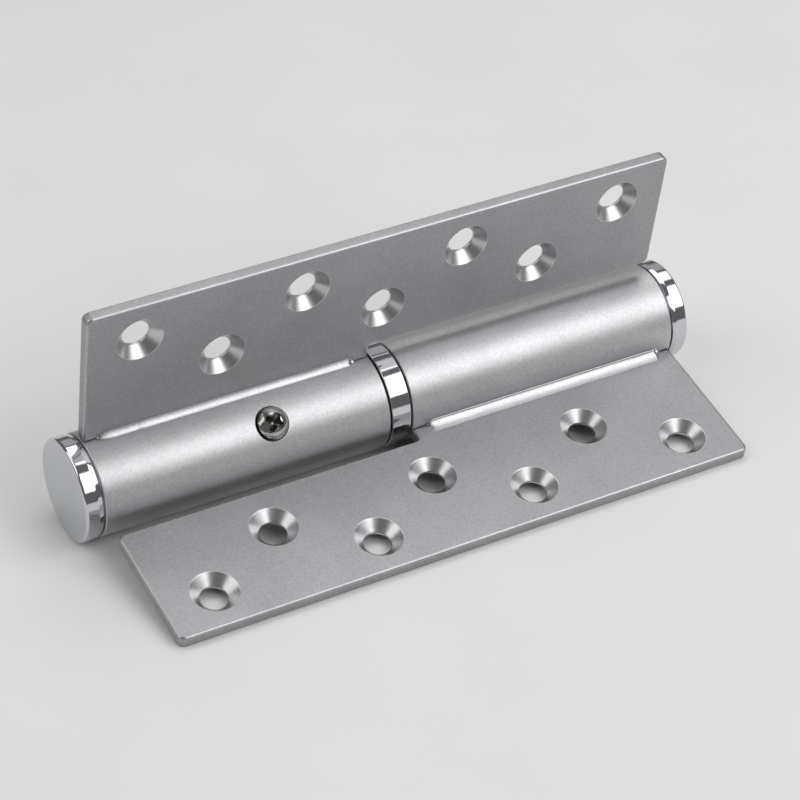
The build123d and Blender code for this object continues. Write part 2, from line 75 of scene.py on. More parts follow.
SCREW_SEAT = 10.3             # the head's underside, from the pivot
POCKET_FLOOR = 9.65
POCKET_RADIUS = 3.5
POCKET_CUT = 4.0              # from its floor outwards, past the tube

tube_low, tube_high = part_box("right_tube")
PIVOT = Vector((0, (tube_low.y + tube_high.y) / 2, (tube_low.z + tube_high.z) / 2))


def add_node(tree, kind, inputs=None, **settings):
    """Adds a node; inputs gives each socket a value, or the socket of another node that feeds it."""
    node = tree.nodes.new(kind)
    for key, value in settings.items():
        setattr(node, key, value)
    for key, value in (inputs or {}).items():
        if isinstance(value, bpy.types.NodeSocket):
            tree.links.new(value, node.inputs[key])
        else:
            node.inputs[key].default_value = value
    return node


def calculate(tree, operation, *values):
    """Result of a math node for those values or sockets."""
    return add_node(tree, "ShaderNodeMath", dict(enumerate(values)), operation=operation).outputs[0]


def new_finish(name, colour, roughness, metallic=1.0):
    """Plain finish, with its node tree, its shader and its Object coordinates."""
    finish = bpy.data.materials.new(name)
    finish.use_nodes = True
    tree = finish.node_tree
    shader = tree.nodes["Principled BSDF"]
    shader.inputs["Base Color"].default_value = (*colour, 1)
    shader.inputs["Metallic"].default_value = metallic
    shader.inputs["Roughness"].default_value = roughness
    place = add_node(tree, "ShaderNodeTexCoord").outputs["Object"]
    return finish, tree, shader, place


def vary(tree, source, low, high, from_low=0.35, from_high=0.65):
    """Maps a value to the range low to high, from the range where most of a noise lies."""
    span = {"Value": source, "From Min": from_low, "From Max": from_high, "To Min": low, "To Max": high}
    return add_node(tree, "ShaderNodeMapRange", span).outputs["Result"]


def tint(tree, shader, colour, tones):
    """Multiplies the colour by each of the tones."""
    shade = tones[0]
    for tone in tones[1:]:
        shade = calculate(tree, "MULTIPLY", shade, tone)
    mixed = add_node(tree, "ShaderNodeVectorMath", {0: colour, "Scale": shade}, operation="SCALE")
    tree.links.new(mixed.outputs["Vector"], shader.inputs["Base Color"])


def emboss(tree, shader, layers):
    """Chains bumps, each a (height socket, depth in mm), into the shader's normal."""
    normal = None
    for height, depth in layers:
        inputs = {"Height": height, "Strength": 1.0, "Distance": depth * MM}
        if normal is not None:
            inputs["Normal"] = normal
        normal = add_node(tree, "ShaderNodeBump", inputs).outputs["Normal"]
    tree.links.new(normal, shader.inputs["Normal"])


def cloud(tree, place, size, detail=2.0, roughness=0.5):
    """Noise whose features are about that many millimetres across."""
    inputs = {"Vector": place, "Scale": 1 / (size * MM), "Detail": detail, "Roughness": roughness}
    return add_node(tree, "ShaderNodeTexNoise", inputs).outputs["Fac"]


def stripes(tree, source, scale, detail):
    """Noise along one value, which gives the lines that a tool leaves."""
    inputs = {"W": source, "Scale": scale, "Detail": detail}
    return add_node(tree, "ShaderNodeTexNoise", inputs, noise_dimensions="1D").outputs["Fac"]


def from_pivot(tree, place):
    """Distance of each point from the pivot's line, and how far along it the point lies."""
    centred = add_node(tree, "ShaderNodeMapping", {"Vector": place, "Location": -PIVOT}).outputs[0]
    parts = add_node(tree, "ShaderNodeSeparateXYZ", {0: centred}).outputs
    across = add_node(tree, "ShaderNodeCombineXYZ", {"Y": parts["Y"], "Z": parts["Z"]}).outputs[0]
    distance = add_node(tree, "ShaderNodeVectorMath", {0: across}, operation="LENGTH")
    return distance.outputs["Value"], parts["X"]


def satin_plating(name, colour, roughness, grain_depth, cloudiness, root_painted_shade=1.0, edge_gloss=0.0):
    """Blasted steel under satin plating: a fine sparkling grain and soft clouds, a little rubbed in places.
    Root_painted_shade is how dark a painted shade makes the plating beside the tube, and edge_gloss how
    much smoother it is along edges that are marked as rubbed, whose colour a painted highlight also
    lightens."""
    finish, tree, shader, place = new_finish(name, colour, roughness)
    grain = cloud(tree, place, GRAIN_SIZE, roughness=0.6)
    fleck = cloud(tree, place, FLECK_SIZE, detail=1.0)
    patch = cloud(tree, place, PATCH_SIZE, detail=3.0)
    tones = [vary(tree, grain, 0.91, 1.09), vary(tree, fleck, 0.95, 1.05),
             vary(tree, patch, 1 - cloudiness, 1 + cloudiness)]
    rubbed = vary(tree, cloud(tree, place, RUB_SIZE), roughness - RUB_SPREAD, roughness + RUB_SPREAD)
    if edge_gloss > 0:
        # Rubbed edges are smoother, and a painted highlight also lightens their colour
        edge = add_node(tree, "ShaderNodeAttribute", attribute_name="edge_rub_and_highlight").outputs["Fac"]
        tones.append(vary(tree, edge, 1.0, EDGE_PAINTED_HIGHLIGHT, 0.0, 1.0))
        rubbed = calculate(tree, "MULTIPLY_ADD", edge, -edge_gloss, rubbed)
    # Painted shade: the plating darkens towards the tube, where the corner with the weld lies in shade
    if root_painted_shade < 1:
        distance, _ = from_pivot(tree, place)
        tones.append(vary(tree, distance, root_painted_shade, 1.0, ROOT_PAINTED_SHADE_FROM * MM, ROOT_PAINTED_SHADE_TO * MM))
    tint(tree, shader, colour, tones)
    tree.links.new(rubbed, shader.inputs["Roughness"])
    emboss(tree, shader, [(grain, grain_depth)])
    return finish


def painted_shade_steel(name, colour, roughness):
    """Cut or punched steel coloured dark as painted shade, with a little random unevenness."""
    finish, tree, shader, place = new_finish(name, colour, roughness)
    tint(tree, shader, colour, [vary(tree, cloud(tree, place, size=0.5), 0.8, 1.2)])
    return finish


def tidy_piece(name, bm, finishes, matrix=None):
    """Makes an object in metres of bm, which the matrix places from the middle of the barrel."""
    bmesh.ops.remove_doubles(bm, verts=bm.verts, dist=MERGE_DISTANCE)
    bmesh.ops.recalc_face_normals(bm, faces=bm.faces)
    mesh = bpy.data.meshes.new(name)
    bm.to_mesh(mesh)
    bm.free()
    if matrix is not None:
        mesh.transform(matrix)
    mesh.transform(Matrix.Scale(MM, 4))
    mesh.transform(Matrix.Translation(PIVOT))
    for finish in finishes:
        mesh.materials.append(finish)
    piece = bpy.data.objects.new(name, mesh)
    bpy.context.scene.collection.objects.link(piece)
    return piece


def modified_mesh(item):
    """New mesh of the object as its modifiers shape it."""
    return bpy.data.meshes.new_from_object(item.evaluated_get(bpy.context.evaluated_depsgraph_get()))


def apply_modifiers(piece):
    """Turns the piece's modifiers into plain mesh."""
    plain = modified_mesh(piece)
    piece.modifiers.clear()
    piece.data = plain


def settle(piece, angle=32):
    """Smooths the piece's shading, apart from edges sharper than that angle."""
    piece.data.shade_smooth()
    piece.data.set_sharp_from_angle(angle=math.radians(angle))
    even = piece.modifiers.new("even_shading", "WEIGHTED_NORMAL")
    even.keep_sharp = True
    apply_modifiers(piece)


def cut_away(piece, cutter):
    """Cuts the cutter out of the piece, with the cutter's finish on the cut, and removes the cutter."""
    cut = piece.modifiers.new("cut", "BOOLEAN")
    cut.operation = "DIFFERENCE"
    cut.material_mode = "TRANSFER"
    cut.solver = "EXACT"
    cut.object = cutter
    apply_modifiers(piece)
    bpy.data.objects.remove(cutter)


def circle(steps):
    """Cosine and sine at each of the steps round a circle."""
    turns = [2 * math.pi * step / steps for step in range(steps)]
    return [(math.cos(turn), math.sin(turn)) for turn in turns]


def turned(profile):
    """Closed solid of revolution about the pivot, from a closed list of (along it, radius) points."""
    bm = bmesh.new()
    rings = []
    for x, radius in profile:
        if radius == 0:
            rings.append([bm.verts.new((x, 0, 0))] * TURNED_STEPS)
        else:
            rings.append([bm.verts.new((x, radius * cosine, radius * sine))
                          for cosine, sine in circle(TURNED_STEPS)])
    for ring, following in zip(rings, rings[1:] + rings[:1]):
        for step in range(TURNED_STEPS):
            corners = [ring[step - 1], ring[step], following[step], following[step - 1]]
            corners = [v for index, v in enumerate(corners) if v not in corners[:index]]
            if len(corners) > 2:
                bm.faces.new(corners)
    return bm


def rounded(profile, radii, steps=4):
    """The profile with its corners rounded: radii gives one radius for each point, 0 for a sharp one."""
    smooth = []
    for index, (corner, radius) in enumerate(zip(profile, radii)):
        corner = Vector(corner)
        if radius == 0:
            smooth.append(corner)
            continue
        before = Vector(profile[index - 1]) - corner
        after = Vector(profile[(index + 1) % len(profile)]) - corner
        half = before.angle(after) / 2
        reach = radius / math.tan(half)
        start = corner + before.normalized() * reach
        end = corner + after.normalized() * reach
        centre = corner + (before.normalized() + after.normalized()).normalized() * radius / math.sin(half)
        for step in range(steps + 1):
            spoke = (start - centre).lerp(end - centre, step / steps)
            smooth.append(centre + spoke.normalized() * radius)
    return smooth


def tube(name, side):
    """One tube, with its outer edges broken."""
    corners = [(TUBE_INNER, TUBE_BORE), (TUBE_INNER, TUBE_RADIUS),
               (TUBE_OUTER, TUBE_RADIUS), (TUBE_OUTER, TUBE_BORE)]
    profile = [(side * x, radius) for x, radius in rounded(corners, (0, TUBE_EDGE, TUBE_EDGE, 0))]
    return tidy_piece(name, turned(profile), [tube_finish])


def radial_matrix(station, direction, distance):
    """Matrix to a place beside the pivot, at that station and distance, with Z pointing away from it."""
    outward = Vector((0, math.cos(direction), math.sin(direction)))
    along = Vector((1, 0, 0))
    axes = Matrix((along, outward.cross(along), outward)).transposed().to_4x4()
    return Matrix.Translation(Vector((station, 0, 0)) + outward * distance) @ axes


def pocket_cutter():
    """Cylinder that cuts the screw's pocket, with the pocket's floor at 0."""
    bm = bmesh.new()
    bmesh.ops.create_cone(bm, cap_ends=True, segments=TURNED_STEPS // 2, radius1=POCKET_RADIUS,
                          radius2=POCKET_RADIUS, depth=POCKET_CUT,
                          matrix=Matrix.Translation((0, 0, POCKET_CUT / 2)))
    return bm


tube_finish = satin_plating("satin_plated_tube", (0.58, 0.58, 0.59), roughness=0.46, grain_depth=0.016,
                            cloudiness=0.02)
right_tube = tube("right_barrel_tube", 1)
left_tube = tube("left_barrel_tube", -1)
# Painted shade: the pocket's cut faces are nearly black, standing in for the shadow under the screw's head
pocket_painted_shade = painted_shade_steel("milled_pocket_painted_shade", (0.06, 0.058, 0.055), roughness=0.5)
cut_away(left_tube, tidy_piece("pocket_cutter", pocket_cutter(), [pocket_painted_shade],
                               radial_matrix(SCREW_STATION, SCREW_DIRECTION, POCKET_FLOOR)))
for piece, node, body in ((left_tube, "left_tube", "rear_side"), (right_tube, "right_tube", "front_side")):
    settle(piece)
    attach(piece, body)
    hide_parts(node)


# Leaves: two equal plates stamped from 2.5 mm steel, their edges rounded by the press and by tumbling.
# Seven countersunk screw holes zig-zag along each. One plate is turned end for end, so that the
# welded tab of each stands beside its own tube and its set-back edge clears the other tube.
LEAF_LENGTH = 127.0
LEAF_THICKNESS = 2.5
LEAF_REACH = 40.9             # pivot to outer edge
NEAR_END = -63.9              # of the leaf, beside its own tube's outer end
TAB_END = -TUBE_INNER
SET_BACK = 13.3               # edge beside the other tube
CORNER_RADIUS = 1.5
CORNER_STEPS = 12
STEP_RADIUS = 0.6
STEP_STEPS = 6
FACE_EDGE = 0.6               # radius of the inner face's edge, rolled over by the die
BACK_EDGE = 0.35
EDGE_STEPS = 6
ROOT_EDGE_SHARE = 0.5         # of either radius, beside the tube
FACE_HEIGHT = -0.95           # inner face, from the plane through the pivot
BACK_HEIGHT = FACE_HEIGHT - LEAF_THICKNESS
ROOT_BEVEL = 1.1
ROOT_GAP = 0.05               # between root and tube, open beyond the ends of the welds
REAR_DIRECTION = math.radians(96.9082353)    # of each leaf as it lies, round the pivot
FRONT_DIRECTION = math.radians(190.0082353)
HOLE_COUNT = 7
HOLE_PITCH = 17.5
HOLE_MARGIN = 11.0            # from the near end to the first hole
HOLE_OUTER_ROW = 32.7
HOLE_ROW_SPACING = 10.0
HOLE_STEPS = 72
HOLE_MERGE = 0.005
MOUTH_RADIUS = 4.75
SHANK_RADIUS = 2.75
RIM_RADIUS = 0.12             # rounded rims of each hole
# Points round each rim of a hole, as shares of that radius outwards and upwards from the sharp corner
BACK_RIM = ((1, 0), (0.3, 0.3), (0, 1))
NECK_RIM = ((0, -1), (0.12, -0.1), (math.sqrt(0.5), math.sqrt(0.5)))
MOUTH_RIM = ((0, -0.45), (0.45, -0.13), (1, 0))


def leaf_matrix(direction, side):
    """Matrix from a leaf's own frame, X along the pivot and Y out along the leaf, to the barrel's."""
    out = Vector((0, math.cos(direction), math.sin(direction)))
    along = Vector((side, 0, 0))
    return Matrix((along, out, along.cross(out))).transposed().to_4x4()


def on_tube(height):
    """How far out a leaf's own plane, at that height, meets the tube."""
    return math.sqrt(TUBE_RADIUS ** 2 - height ** 2)


def root_reach(height):
    """Where the plate's root ends at that height: beside the tube, or on the bevel at its back."""
    bevel_top = BACK_HEIGHT + ROOT_BEVEL
    if height >= bevel_top:
        return on_tube(height) + ROOT_GAP
    share = (bevel_top - height) / ROOT_BEVEL
    return on_tube(bevel_top) + share * (on_tube(BACK_HEIGHT) + ROOT_BEVEL - on_tube(bevel_top))


def leaf_outline():
    """Points round the plate, each with the way inwards there and whether it is a corner of the root."""
    far_end = NEAR_END + LEAF_LENGTH
    outline = [(Vector((NEAR_END, 0)), Vector((1, 0)), True), (Vector((TAB_END, 0)), Vector((-1, 0)), True)]
    # Each rounded corner with the way to its centre, and the directions from there at its start and end
    for x, y, radius, steps, right, outwards, start, end in (
            (TAB_END, SET_BACK, STEP_RADIUS, STEP_STEPS, 1, -1, 180, 90),
            (far_end, SET_BACK, CORNER_RADIUS, CORNER_STEPS, -1, 1, -90, 0),
            (far_end, LEAF_REACH, CORNER_RADIUS, CORNER_STEPS, -1, -1, 0, 90),
            (NEAR_END, LEAF_REACH, CORNER_RADIUS, CORNER_STEPS, 1, -1, 90, 180)):
        centre = Vector((x + right * radius, y + outwards * radius))
        for step in range(steps + 1):
            turn = math.radians(start + (end - start) * step / steps)
            spoke = Vector((math.cos(turn), math.sin(turn)))
            inward = spoke if end < start else -spoke
            outline.append((centre + spoke * radius, inward, False))
    return outline


def hole_places():
    """Centre of each hole, by turns in the outer and the inner row."""
    return [(NEAR_END + HOLE_MARGIN + index * HOLE_PITCH, HOLE_OUTER_ROW - index % 2 * HOLE_ROW_SPACING)
            for index in range(HOLE_COUNT)]


def circle_points(x, y, radius, height, steps=HOLE_STEPS):
    """Points of a level circle."""
    return [(x + radius * cosine, y + radius * sine, height) for cosine, sine in circle(steps)]


def closed_loop(bm, points):
    """Adds a closed loop of vertices and edges, and returns both."""
    ring = [bm.verts.new(point) for point in points]
    return ring, [bm.edges.new((ring[index - 1], ring[index])) for index in range(len(ring))]


def skin(bm, rings, capped=True):
    """Joins each ring of vertices to the next with faces, and caps the first and the last."""
    for ring, following in zip(rings, rings[1:]):
        for index in range(len(ring)):
            bm.faces.new((ring[index - 1], ring[index], following[index], following[index - 1]))
    if capped:
        bm.faces.new(rings[0])
        bm.faces.new(rings[-1])
    return bm


def leaf_plate():
    """The plate with rounded edges and open round holes, in the leaf's own frame."""
    bm = bmesh.new()
    rub_and_highlight_layer = bm.verts.layers.float.new("edge_rub_and_highlight")
    turns = [math.radians(90 * step / EDGE_STEPS) for step in range(EDGE_STEPS + 1)]
    curve = [(1 - math.sin(turn), 1 - math.cos(turn)) for turn in turns]
    # Each level of the edge: how far in it lies, its height, and how much it is rubbed and lightened by
    # painted highlight
    levels = [(FACE_EDGE * inset, FACE_HEIGHT - FACE_EDGE * drop, math.sin(math.pi * math.sqrt(inset)))
              for inset, drop in curve]
    levels.append((0, BACK_HEIGHT + ROOT_BEVEL, 0))
    levels += [(BACK_EDGE * inset, BACK_HEIGHT + BACK_EDGE * drop, 0) for inset, drop in reversed(curve)]
    rings = []
    borders = []
    for inset, height, rub in levels:
        points = []
        for point, inward, at_root in leaf_outline():
            place = point + inward * inset
            reach = root_reach(height) + ROOT_EDGE_SHARE * inset if at_root else place.y
            points.append((place.x, reach, height))
        ring, border = closed_loop(bm, points)
        for v in ring:
            v[rub_and_highlight_layer] = rub
        rings.append(ring)
        borders.append(border)
    skin(bm, rings, capped=False)
    for border, radius, height in ((borders[0], MOUTH_RADIUS + RIM_RADIUS, FACE_HEIGHT),
                                   (borders[-1], SHANK_RADIUS + RIM_RADIUS, BACK_HEIGHT)):
        for x, y in hole_places():
            border += closed_loop(bm, circle_points(x, y, radius, height))[1]
        bmesh.ops.triangle_fill(bm, use_beauty=True, use_dissolve=False, edges=border)
    return bm


def countersunk_wall():
    """Wall of one hole: rounded rims, shank and cone, with its axis at the origin."""
    bm = bmesh.new()
    radius_layer = bm.verts.layers.float.new("turning_radius")
    rings = []
    for corner_radius, corner_height, rim in ((SHANK_RADIUS, -LEAF_THICKNESS, BACK_RIM),
                                              (SHANK_RADIUS, SHANK_RADIUS - MOUTH_RADIUS, NECK_RIM),
                                              (MOUTH_RADIUS, 0, MOUTH_RIM)):
        for out, up in rim:
            radius = corner_radius + RIM_RADIUS * out
            ring, _ = closed_loop(bm, circle_points(0, 0, radius, corner_height + RIM_RADIUS * up))
            for v in ring:
                v[radius_layer] = radius
            rings.append(ring)
    return skin(bm, rings, capped=False)


def countersink_metal():
    """Bright cut metal of the countersinks, with the tool's rings on it."""
    colour = (0.62, 0.62, 0.63)
    finish, tree, shader, place = new_finish("cut_countersink", colour, roughness=0.30)
    radius = add_node(tree, "ShaderNodeAttribute", attribute_name="turning_radius").outputs["Fac"]
    rings = stripes(tree, radius, scale=9.0, detail=3.0)
    grain = cloud(tree, place, size=0.3)
    tint(tree, shader, colour, [vary(tree, rings, 0.93, 1.06), vary(tree, grain, 0.97, 1.03)])
    emboss(tree, shader, [(rings, 0.006), (grain, 0.004)])
    return finish


def node_group(name, inputs, output):
    """Geometry node group with those (name, kind) inputs and one output; returns it with its inputs."""
    tree = bpy.data.node_groups.new(name, "GeometryNodeTree")
    for label, kind in inputs:
        tree.interface.new_socket(label, in_out="INPUT", socket_type="NodeSocket" + kind)
    tree.interface.new_socket(output, in_out="OUTPUT", socket_type="NodeSocketGeometry")
    return tree, add_node(tree, "NodeGroupInput").outputs


def hole_tree():
    """Geometry nodes that set the holes' walls in their zig-zag and join them to the plate."""
    tree, given = node_group("zig_zag_screw_holes", (
        ("Plate", "Geometry"), ("Wall", "Object"), ("Count", "Int"), ("Pitch", "Float"),
        ("Row Spacing", "Float"), ("First Hole", "Vector"), ("Cut Metal", "Material")), "Leaf")
    step = add_node(tree, "ShaderNodeCombineXYZ", {"X": given["Pitch"]}).outputs[0]
    line = add_node(tree, "GeometryNodeMeshLine", {
        "Count": given["Count"], "Start Location": given["First Hole"], "Offset": step}, mode="OFFSET")
    row = calculate(tree, "MODULO", add_node(tree, "GeometryNodeInputIndex").outputs[0], 2.0)
    inwards = calculate(tree, "MULTIPLY", row, given["Row Spacing"])
    shift = add_node(tree, "ShaderNodeCombineXYZ", {"Y": calculate(tree, "MULTIPLY", inwards, -1.0)})
    places = add_node(tree, "GeometryNodeSetPosition", {
        "Geometry": line.outputs[0], "Offset": shift.outputs[0]})
    shape = add_node(tree, "GeometryNodeObjectInfo", {"Object": given["Wall"]}).outputs["Geometry"]
    holes = add_node(tree, "GeometryNodeInstanceOnPoints", {"Points": places.outputs[0], "Instance": shape})
    real = add_node(tree, "GeometryNodeRealizeInstances", {0: holes.outputs[0]})
    cut = add_node(tree, "GeometryNodeSetMaterial", {
        "Geometry": real.outputs[0], "Material": given["Cut Metal"]})
    both = add_node(tree, "GeometryNodeJoinGeometry")
    tree.links.new(cut.outputs[0], both.inputs[0])
    tree.links.new(given["Plate"], both.inputs[0])
    closed = add_node(tree, "GeometryNodeMergeByDistance", {
        "Geometry": both.outputs[0], "Distance": HOLE_MERGE})
    add_node(tree, "NodeGroupOutput", {0: closed.outputs[0]})
    return tree


def set_inputs(modifier, values):
    """Gives a geometry nodes modifier its named inputs, by their sockets' identifiers."""
    for socket in modifier.node_group.interface.items_tree:
        if socket.in_out == "INPUT" and socket.name in values:
            modifier[socket.identifier] = values[socket.name]


def plain_object(name, bm):
    """Object in millimetres that geometry nodes read or start from."""
    mesh = bpy.data.meshes.new(name)
    bm.to_mesh(mesh)
    bm.free()
    item = bpy.data.objects.new(name, mesh)
    bpy.context.scene.collection.objects.link(item)
    return item


def shaped_by_nodes(item, tree, values):
    """Mesh that geometry nodes make of the plain object, with those named inputs; removes the object."""
    nodes = item.modifiers.new(tree.name, "NODES")
    nodes.node_group = tree
    set_inputs(nodes, values)
    mesh = modified_mesh(item)
    bpy.data.objects.remove(item)
    bm = bmesh.new()
    bm.from_mesh(mesh)
    return bm, list(mesh.materials)


# The leaves' plating has painted shade beside the tube and a painted highlight on its rubbed edges
leaf_finish = satin_plating("satin_plated_leaf", (0.40, 0.40, 0.41), roughness=0.47, grain_depth=0.018,
                            cloudiness=0.04, root_painted_shade=0.86, edge_gloss=0.11)
wall = plain_object("hole_wall", countersunk_wall())
screw_holes = hole_tree()
hole_values = {"Wall": wall, "Count": HOLE_COUNT, "Pitch": HOLE_PITCH, "Row Spacing": HOLE_ROW_SPACING,
               "First Hole": (NEAR_END + HOLE_MARGIN, HOLE_OUTER_ROW, FACE_HEIGHT),
               "Cut Metal": countersink_metal()}
for name, node, direction, side, body in (
        ("rear_leaf_plate", "rear_leaf", REAR_DIRECTION, 1, "rear_side"),
        ("front_leaf_plate", "front_leaf", FRONT_DIRECTION, -1, "front_side")):
    blank = plain_object("leaf_blank", leaf_plate())
    blank.data.materials.append(leaf_finish)
    drilled, finishes = shaped_by_nodes(blank, screw_holes, hole_values)
    leaf = tidy_piece(name, drilled, finishes, leaf_matrix(direction, side))
    settle(leaf)
    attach(leaf, body)
    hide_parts(node)
bpy.data.objects.remove(wall)


# Welds: each leaf is joined to its tube by a smooth dished bead along its inner face, which begins with a
# drop and runs out in a small crater, and by a second bead that fills the bevel at its back. They are
# plated with the leaf and the tube.
WELD_STEP = 0.25
WELD_SINK = 0.12
FACE_STEPS = 10               # across a bead's face
TOE_LIP = 0.16                # how far the bead's edge stands proud of the tube
# How the lip rounds over into the tube: way beyond the edge and height over the tube, as shares of the lip
TOE_CURVE = ((0.45, 0.9), (0.85, 0.45), (1.0, -1.0))
SWAY_LENGTH = 6.5             # over which a bead's edges waver
LEAF_SWAY = 0.10              # share of the leg on the leaf
TUBE_SWAY = -0.08             # share of the leg on the tube
RIPPLE_LENGTH = 1.6
RIPPLE_DEPTH = 0.06           # share of the dish
RIPPLE_SEED = 5               # sets the ripples apart from the wavering
BACK_SEED = 7                 # sets the back bead apart from the inner one
END_SIZE = 0.12               # share of the bead's size at its very ends
DROP_FADE = 0.6               # length of the rounded end in the drop
DROP_RADIUS = 0.95
DROP_BEYOND = -0.15           # how far the drop's centre lies beyond the bead's end
DROP_OFFSET = (0.04, 0.2)     # of its centre from the corner, out along the leaf and up from it
CRATER_RADIUS = 0.42
CRATER_OFFSET = (0.5, 0.3)
RESTART = 8.2                 # from the crater to where the rear bead was taken up again
RESTART_LENGTH = 0.7
# Shape of each bead: its legs on leaf and tube, and how far its face is dished
REAR_SHAPE = (1.25, 0.95, 0.07)
FRONT_SHAPE = (2.2, 1.05, 0.22)
BACK_SHAPE = (ROOT_BEVEL, ROOT_BEVEL, 0.1)
# Run of each bead: its crater and its drop, in the leaf's own frame, the length over which it runs out in
# the crater, and the dip where it was taken up again
REAR_RUN = (-61.1, -6.4, 3.6, 0.10)
FRONT_RUN = (-5.8, -60.5, 1.6, 0.0)
BACK_RUN = (-61.1, -5.4, 1.6, 0.0)


def bead_size(x, crater, drop, run_out, dip):
    """The bead's size at x, as a share of its full size."""
    end = min(1, abs(x - crater) / run_out, abs(x - drop) / DROP_FADE)
    size = END_SIZE + (1 - END_SIZE) * math.sqrt(1 - (1 - end) ** 2)
    return size * (1 - dip * math.exp(-((abs(x - crater) - RESTART) / RESTART_LENGTH) ** 2))


def bead(face_height, root_height, shape, run, into_leaf, seed):
    """One bead in the leaf's own frame, from the leaf's face over to the tube, sunk a little in both.
    Into_leaf is -1 where the leaf's metal lies below that face and 1 where it lies above."""
    bm = bmesh.new()
    leaf_leg, tube_leg, hollow = shape
    crater, drop = run[:2]
    root_angle = math.asin(face_height / TUBE_RADIUS)
    root = Vector((on_tube(root_height), root_height))
    rings = []
    count = int(abs(drop - crater) / WELD_STEP)
    for step in range(count + 1):
        x = crater + (drop - crater) * step / count
        size = bead_size(x, *run)
        sway = noise.noise(Vector((x / SWAY_LENGTH, seed, 0)))
        ripple = noise.noise(Vector((x / RIPPLE_LENGTH, seed, RIPPLE_SEED)))
        leaf_toe = Vector((on_tube(face_height) + leaf_leg * size * (1 + LEAF_SWAY * sway), face_height))
        toe_turn = root_angle - into_leaf * tube_leg * size * (1 + TUBE_SWAY * sway) / TUBE_RADIUS
        tube_toe = Vector((math.cos(toe_turn), math.sin(toe_turn))) * (TUBE_RADIUS + TOE_LIP)
        inward = (root - (leaf_toe + tube_toe) / 2).normalized()
        ring = [Vector((leaf_toe.x, face_height + into_leaf * WELD_SINK))]
        for across in range(FACE_STEPS + 1):
            share = across / FACE_STEPS
            dish = hollow * size * (4 * share * (1 - share)) * (1 + RIPPLE_DEPTH * ripple)
            ring.append(leaf_toe.lerp(tube_toe, share) + inward * dish)
        for beyond, lift in TOE_CURVE:
            turn = toe_turn - into_leaf * beyond * TOE_LIP / TUBE_RADIUS
            ring.append(Vector((math.cos(turn), math.sin(turn))) * (TUBE_RADIUS + lift * TOE_LIP))
        ring.append(root * (1 - WELD_SINK / TUBE_RADIUS) + Vector((0, into_leaf * WELD_SINK)))
        rings.append([bm.verts.new((x, point.x, point.y)) for point in ring])
    return skin(bm, rings)


def weld_ball(x, radius, offset):
    """Ball beside the corner that the inner bead fills, in the leaf's own frame."""
    bm = bmesh.new()
    centre = Vector((x, on_tube(FACE_HEIGHT) + offset[0], FACE_HEIGHT + offset[1]))
    bmesh.ops.create_icosphere(bm, subdivisions=4, radius=radius, matrix=Matrix.Translation(centre))
    return bm


def joined(parts):
    """One mesh of several closed ones, each with its faces turned outwards."""
    whole = bmesh.new()
    for part in parts:
        bmesh.ops.recalc_face_normals(part, faces=part.faces)
        passed = bpy.data.meshes.new("passed")
        part.to_mesh(passed)
        part.free()
        whole.from_mesh(passed)
        bpy.data.meshes.remove(passed)
    return whole


weld_finish = satin_plating("satin_plated_weld", (0.50, 0.50, 0.51), roughness=0.36, grain_depth=0.0015,
                            cloudiness=0.02)
for name, node, direction, side, body, shape, run in (
        ("rear_leaf_bead", "rear_leaf_weld", REAR_DIRECTION, 1, "rear_side", REAR_SHAPE, REAR_RUN),
        ("front_leaf_bead", "front_leaf_weld", FRONT_DIRECTION, -1, "front_side", FRONT_SHAPE, FRONT_RUN)):
    crater, drop = run[:2]
    towards_drop = math.copysign(1, drop - crater)
    matrix = leaf_matrix(direction, side)
    runs = joined((
        bead(FACE_HEIGHT, FACE_HEIGHT, shape, run, into_leaf=-1, seed=side),
        bead(BACK_HEIGHT, BACK_HEIGHT + ROOT_BEVEL, BACK_SHAPE, BACK_RUN, into_leaf=1,
             seed=side + BACK_SEED),
        weld_ball(drop + towards_drop * DROP_BEYOND, DROP_RADIUS, DROP_OFFSET)))
    weld = tidy_piece(name, runs, [weld_finish], matrix)
    crater_cutter = weld_ball(crater + towards_drop * CRATER_RADIUS / 2, CRATER_RADIUS, CRATER_OFFSET)
    cut_away(weld, tidy_piece("crater_cutter", crater_cutter, [weld_finish], matrix))
    settle(weld, angle=50)
    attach(weld, body)
    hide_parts(node)


# Middle ring and end caps: turned, polished and chromed. The ring fills the space between the two tubes,
# and each cap is pushed into its tube, with a narrow neck that leaves a dark line beside the tube.
BRIGHT_RADIUS = 10.45
RING_HALF = 2.1               # half its width
RING_EDGE = 0.2
RING_BORE = 6.35              # radius
CAP_NECK = 0.4                # its width
CAP_NECK_RADIUS = 9.4
CAP_OUTER = 68.0              # station of its face
CAP_FACE_EDGE = 0.55
CAP_BEVEL = 0.9               # length of the shallow bevel beside the neck
CAP_BEVEL_DROP = 0.22
CAP_BEVEL_EDGE = 0.1
SPIGOT_END = 62.0
SPIGOT_BORE = 6.9             # radius


def bright_chrome():
    """Polished chrome: nearly a mirror, with the faintest haze and hairlines round it."""
    finish, tree, shader, place = new_finish("polished_chrome", (0.64, 0.65, 0.67), roughness=0.08)
    haze = cloud(tree, place, size=6.0, detail=4.0)
    tree.links.new(vary(tree, haze, 0.065, 0.095), shader.inputs["Roughness"])
    along = add_node(tree, "ShaderNodeSeparateXYZ", {0: place}).outputs["X"]
    hairlines = stripes(tree, along, scale=9000.0, detail=2.0)
    emboss(tree, shader, [(hairlines, 0.0006), (haze, 0.004)])
    return finish


